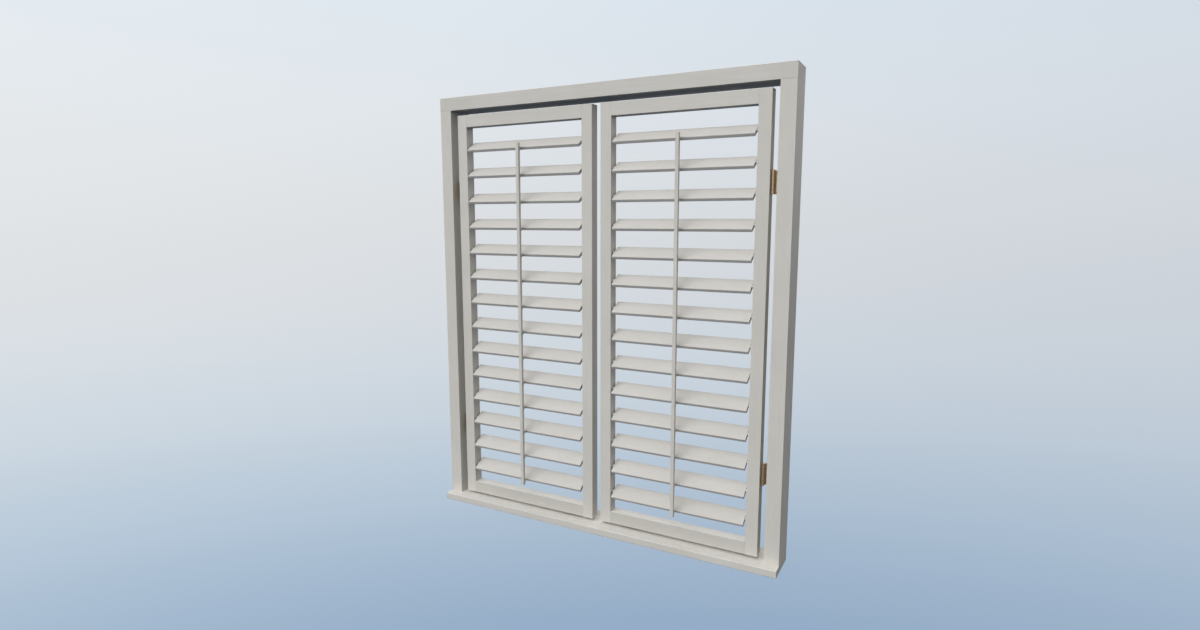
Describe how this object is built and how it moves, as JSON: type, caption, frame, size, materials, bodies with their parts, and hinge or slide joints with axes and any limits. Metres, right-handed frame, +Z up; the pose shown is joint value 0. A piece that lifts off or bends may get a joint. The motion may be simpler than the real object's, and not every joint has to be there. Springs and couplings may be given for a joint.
{
  "type": "louvred window shutters",
  "caption": "Pair of side-hung louvred shutter panels in a timber frame with a projecting sill; each panel has tilting slats worked by a front rod.",
  "frame": {"origin": "centre of the footprint (sill width and depth) on the underside of the sill", "axes": "+Z up; -Y is the room side, where the sill and tilt rods stand forward and the panels open; +Y is the window side; +X is to the right seen from the room"},
  "size_m": [1.2, 0.126, 1.419],
  "materials": {
    "frame_paint": "satin warm-white paint on timber",
    "panel_paint": "satin warm-white paint on timber",
    "louvre_paint": "satin warm-white paint on timber",
    "rod_paint": "satin warm-white paint on timber",
    "hinge_brass": "dull lacquered",
    "screw_brass": "dull lacquered",
    "screw_steel": "zinc plated",
    "staple_wire": "zinc plated wire",
    "strike_steel": "zinc plated",
    "magnet": "nickel plated",
    "pin_plastic": "moulded white",
    "catch_plastic": "moulded white",
    "dowel_beech": "bare beech"
  },
  "bodies": {
    "frame": {"left_jamb": "frame_paint", "right_jamb": "frame_paint", "head": "frame_paint", "sill": "frame_paint", "frame_joint_screws": "screw_steel", "frame_hinge_leaves": "hinge_brass", "hinge_pins": "hinge_brass", "frame_hardware_screws": "screw_brass", "magnet_catches": "catch_plastic", "catch_magnets": "magnet"},
    "left_panel": {"left_hinge_stile": "panel_paint", "left_meeting_stile": "panel_paint", "left_top_rail": "panel_paint", "left_bottom_rail": "panel_paint", "left_rail_dowels": "dowel_beech", "left_louvre_pins": "pin_plastic", "left_panel_hinge_leaves": "hinge_brass", "left_panel_screws": "screw_brass", "left_strike_plate": "strike_steel"},
    "left_louvre_07": {"left_louvre_07": "louvre_paint"},
    "left_louvre_01": {"left_louvre_01": "louvre_paint"},
    "left_louvre_02": {"left_louvre_02": "louvre_paint"},
    "left_louvre_03": {"left_louvre_03": "louvre_paint"},
    "left_louvre_04": {"left_louvre_04": "louvre_paint"},
    "left_louvre_05": {"left_louvre_05": "louvre_paint"},
    "left_louvre_06": {"left_louvre_06": "louvre_paint"},
    "left_louvre_08": {"left_louvre_08": "louvre_paint"},
    "left_louvre_09": {"left_louvre_09": "louvre_paint"},
    "left_louvre_10": {"left_louvre_10": "louvre_paint"},
    "left_louvre_11": {"left_louvre_11": "louvre_paint"},
    "left_louvre_12": {"left_louvre_12": "louvre_paint"},
    "left_louvre_13": {"left_louvre_13": "louvre_paint"},
    "left_louvre_14": {"left_louvre_14": "louvre_paint"},
    "left_tilt_rod": {"left_tilt_rod": "rod_paint", "left_rod_staples": "staple_wire"},
    "right_panel": {"right_hinge_stile": "panel_paint", "right_meeting_stile": "panel_paint", "right_top_rail": "panel_paint", "right_bottom_rail": "panel_paint", "right_rail_dowels": "dowel_beech", "right_louvre_pins": "pin_plastic", "right_panel_hinge_leaves": "hinge_brass", "right_panel_screws": "screw_brass", "right_strike_plate": "strike_steel"},
    "right_louvre_07": {"right_louvre_07": "louvre_paint"},
    "right_louvre_01": {"right_louvre_01": "louvre_paint"},
    "right_louvre_02": {"right_louvre_02": "louvre_paint"},
    "right_louvre_03": {"right_louvre_03": "louvre_paint"},
    "right_louvre_04": {"right_louvre_04": "louvre_paint"},
    "right_louvre_05": {"right_louvre_05": "louvre_paint"},
    "right_louvre_06": {"right_louvre_06": "louvre_paint"},
    "right_louvre_08": {"right_louvre_08": "louvre_paint"},
    "right_louvre_09": {"right_louvre_09": "louvre_paint"},
    "right_louvre_10": {"right_louvre_10": "louvre_paint"},
    "right_louvre_11": {"right_louvre_11": "louvre_paint"},
    "right_louvre_12": {"right_louvre_12": "louvre_paint"},
    "right_louvre_13": {"right_louvre_13": "louvre_paint"},
    "right_louvre_14": {"right_louvre_14": "louvre_paint"},
    "right_tilt_rod": {"right_tilt_rod": "rod_paint", "right_rod_staples": "staple_wire"}
  },
  "joints": [
    {"name": "left_panel_hinge", "type": "hinge", "parent": "frame", "child": "left_panel", "pos_m": [-0.5388, -0.0076, 0.6951], "axis": [0, 0, -1], "range_deg": [0, 90]},
    {"name": "left_louvre_07_pivot", "type": "hinge", "parent": "left_panel", "child": "left_louvre_07", "pos_m": [-0.2742, -0.0048, 0.7364], "axis": [1, 0, 0], "range_deg": [-107.7, 42.3]},
    {"name": "left_louvre_01_pivot", "type": "hinge", "parent": "left_panel", "child": "left_louvre_01", "pos_m": [-0.2742, -0.0048, 1.2524], "axis": [1, 0, 0], "range_deg": [-107.7, 42.3]},
    {"name": "left_louvre_02_pivot", "type": "hinge", "parent": "left_panel", "child": "left_louvre_02", "pos_m": [-0.2742, -0.0048, 1.1664], "axis": [1, 0, 0], "range_deg": [-107.7, 42.3]},
    {"name": "left_louvre_03_pivot", "type": "hinge", "parent": "left_panel", "child": "left_louvre_03", "pos_m": [-0.2742, -0.0048, 1.0804], "axis": [1, 0, 0], "range_deg": [-107.7, 42.3]},
    {"name": "left_louvre_04_pivot", "type": "hinge", "parent": "left_panel", "child": "left_louvre_04", "pos_m": [-0.2742, -0.0048, 0.9944], "axis": [1, 0, 0], "range_deg": [-107.7, 42.3]},
    {"name": "left_louvre_05_pivot", "type": "hinge", "parent": "left_panel", "child": "left_louvre_05", "pos_m": [-0.2742, -0.0048, 0.9084], "axis": [1, 0, 0], "range_deg": [-107.7, 42.3]},
    {"name": "left_louvre_06_pivot", "type": "hinge", "parent": "left_panel", "child": "left_louvre_06", "pos_m": [-0.2742, -0.0048, 0.8224], "axis": [1, 0, 0], "range_deg": [-107.7, 42.3]},
    {"name": "left_louvre_08_pivot", "type": "hinge", "parent": "left_panel", "child": "left_louvre_08", "pos_m": [-0.2742, -0.0048, 0.6504], "axis": [1, 0, 0], "range_deg": [-107.7, 42.3]},
    {"name": "left_louvre_09_pivot", "type": "hinge", "parent": "left_panel", "child": "left_louvre_09", "pos_m": [-0.2742, -0.0048, 0.5644], "axis": [1, 0, 0], "range_deg": [-107.7, 42.3]},
    {"name": "left_louvre_10_pivot", "type": "hinge", "parent": "left_panel", "child": "left_louvre_10", "pos_m": [-0.2742, -0.0048, 0.4784], "axis": [1, 0, 0], "range_deg": [-107.7, 42.3]},
    {"name": "left_louvre_11_pivot", "type": "hinge", "parent": "left_panel", "child": "left_louvre_11", "pos_m": [-0.2742, -0.0048, 0.3924], "axis": [1, 0, 0], "range_deg": [-107.7, 42.3]},
    {"name": "left_louvre_12_pivot", "type": "hinge", "parent": "left_panel", "child": "left_louvre_12", "pos_m": [-0.2742, -0.0048, 0.3064], "axis": [1, 0, 0], "range_deg": [-107.7, 42.3]},
    {"name": "left_louvre_13_pivot", "type": "hinge", "parent": "left_panel", "child": "left_louvre_13", "pos_m": [-0.2742, -0.0048, 0.2204], "axis": [1, 0, 0], "range_deg": [-107.7, 42.3]},
    {"name": "left_louvre_14_pivot", "type": "hinge", "parent": "left_panel", "child": "left_louvre_14", "pos_m": [-0.2742, -0.0048, 0.1344], "axis": [1, 0, 0], "range_deg": [-107.7, 42.3]},
    {"name": "left_rod_pivot", "type": "hinge", "parent": "left_louvre_07", "child": "left_tilt_rod", "pos_m": [-0.2742, -0.03337, 0.71806], "axis": [1, 0, 0], "range_deg": [-42.3, 107.7]},
    {"name": "right_panel_hinge", "type": "hinge", "parent": "frame", "child": "right_panel", "pos_m": [0.5388, -0.0076, 0.6951], "axis": [0, 0, 1], "range_deg": [0, 90]},
    {"name": "right_louvre_07_pivot", "type": "hinge", "parent": "right_panel", "child": "right_louvre_07", "pos_m": [0.2742, -0.0048, 0.7364], "axis": [1, 0, 0], "range_deg": [-107.7, 42.3]},
    {"name": "right_louvre_01_pivot", "type": "hinge", "parent": "right_panel", "child": "right_louvre_01", "pos_m": [0.2742, -0.0048, 1.2524], "axis": [1, 0, 0], "range_deg": [-107.7, 42.3]},
    {"name": "right_louvre_02_pivot", "type": "hinge", "parent": "right_panel", "child": "right_louvre_02", "pos_m": [0.2742, -0.0048, 1.1664], "axis": [1, 0, 0], "range_deg": [-107.7, 42.3]},
    {"name": "right_louvre_03_pivot", "type": "hinge", "parent": "right_panel", "child": "right_louvre_03", "pos_m": [0.2742, -0.0048, 1.0804], "axis": [1, 0, 0], "range_deg": [-107.7, 42.3]},
    {"name": "right_louvre_04_pivot", "type": "hinge", "parent": "right_panel", "child": "right_louvre_04", "pos_m": [0.2742, -0.0048, 0.9944], "axis": [1, 0, 0], "range_deg": [-107.7, 42.3]},
    {"name": "right_louvre_05_pivot", "type": "hinge", "parent": "right_panel", "child": "right_louvre_05", "pos_m": [0.2742, -0.0048, 0.9084], "axis": [1, 0, 0], "range_deg": [-107.7, 42.3]},
    {"name": "right_louvre_06_pivot", "type": "hinge", "parent": "right_panel", "child": "right_louvre_06", "pos_m": [0.2742, -0.0048, 0.8224], "axis": [1, 0, 0], "range_deg": [-107.7, 42.3]},
    {"name": "right_louvre_08_pivot", "type": "hinge", "parent": "right_panel", "child": "right_louvre_08", "pos_m": [0.2742, -0.0048, 0.6504], "axis": [1, 0, 0], "range_deg": [-107.7, 42.3]},
    {"name": "right_louvre_09_pivot", "type": "hinge", "parent": "right_panel", "child": "right_louvre_09", "pos_m": [0.2742, -0.0048, 0.5644], "axis": [1, 0, 0], "range_deg": [-107.7, 42.3]},
    {"name": "right_louvre_10_pivot", "type": "hinge", "parent": "right_panel", "child": "right_louvre_10", "pos_m": [0.2742, -0.0048, 0.4784], "axis": [1, 0, 0], "range_deg": [-107.7, 42.3]},
    {"name": "right_louvre_11_pivot", "type": "hinge", "parent": "right_panel", "child": "right_louvre_11", "pos_m": [0.2742, -0.0048, 0.3924], "axis": [1, 0, 0], "range_deg": [-107.7, 42.3]},
    {"name": "right_louvre_12_pivot", "type": "hinge", "parent": "right_panel", "child": "right_louvre_12", "pos_m": [0.2742, -0.0048, 0.3064], "axis": [1, 0, 0], "range_deg": [-107.7, 42.3]},
    {"name": "right_louvre_13_pivot", "type": "hinge", "parent": "right_panel", "child": "right_louvre_13", "pos_m": [0.2742, -0.0048, 0.2204], "axis": [1, 0, 0], "range_deg": [-107.7, 42.3]},
    {"name": "right_louvre_14_pivot", "type": "hinge", "parent": "right_panel", "child": "right_louvre_14", "pos_m": [0.2742, -0.0048, 0.1344], "axis": [1, 0, 0], "range_deg": [-107.7, 42.3]},
    {"name": "right_rod_pivot", "type": "hinge", "parent": "right_louvre_07", "child": "right_tilt_rod", "pos_m": [0.2742, -0.03337, 0.71806], "axis": [1, 0, 0], "range_deg": [-42.3, 107.7]}
  ],
  "couplings": [
    {"joint": "left_louvre_01_pivot", "follows": "left_louvre_07_pivot", "ratio": 1},
    {"joint": "left_louvre_02_pivot", "follows": "left_louvre_07_pivot", "ratio": 1},
    {"joint": "left_louvre_03_pivot", "follows": "left_louvre_07_pivot", "ratio": 1},
    {"joint": "left_louvre_04_pivot", "follows": "left_louvre_07_pivot", "ratio": 1},
    {"joint": "left_louvre_05_pivot", "follows": "left_louvre_07_pivot", "ratio": 1},
    {"joint": "left_louvre_06_pivot", "follows": "left_louvre_07_pivot", "ratio": 1},
    {"joint": "left_louvre_08_pivot", "follows": "left_louvre_07_pivot", "ratio": 1},
    {"joint": "left_louvre_09_pivot", "follows": "left_louvre_07_pivot", "ratio": 1},
    {"joint": "left_louvre_10_pivot", "follows": "left_louvre_07_pivot", "ratio": 1},
    {"joint": "left_louvre_11_pivot", "follows": "left_louvre_07_pivot", "ratio": 1},
    {"joint": "left_louvre_12_pivot", "follows": "left_louvre_07_pivot", "ratio": 1},
    {"joint": "left_louvre_13_pivot", "follows": "left_louvre_07_pivot", "ratio": 1},
    {"joint": "left_louvre_14_pivot", "follows": "left_louvre_07_pivot", "ratio": 1},
    {"joint": "left_rod_pivot", "follows": "left_louvre_07_pivot", "ratio": -1},
    {"joint": "right_louvre_01_pivot", "follows": "right_louvre_07_pivot", "ratio": 1},
    {"joint": "right_louvre_02_pivot", "follows": "right_louvre_07_pivot", "ratio": 1},
    {"joint": "right_louvre_03_pivot", "follows": "right_louvre_07_pivot", "ratio": 1},
    {"joint": "right_louvre_04_pivot", "follows": "right_louvre_07_pivot", "ratio": 1},
    {"joint": "right_louvre_05_pivot", "follows": "right_louvre_07_pivot", "ratio": 1},
    {"joint": "right_louvre_06_pivot", "follows": "right_louvre_07_pivot", "ratio": 1},
    {"joint": "right_louvre_08_pivot", "follows": "right_louvre_07_pivot", "ratio": 1},
    {"joint": "right_louvre_09_pivot", "follows": "right_louvre_07_pivot", "ratio": 1},
    {"joint": "right_louvre_10_pivot", "follows": "right_louvre_07_pivot", "ratio": 1},
    {"joint": "right_louvre_11_pivot", "follows": "right_louvre_07_pivot", "ratio": 1},
    {"joint": "right_louvre_12_pivot", "follows": "right_louvre_07_pivot", "ratio": 1},
    {"joint": "right_louvre_13_pivot", "follows": "right_louvre_07_pivot", "ratio": 1},
    {"joint": "right_louvre_14_pivot", "follows": "right_louvre_07_pivot", "ratio": 1},
    {"joint": "right_rod_pivot", "follows": "right_louvre_07_pivot", "ratio": -1}
  ]
}
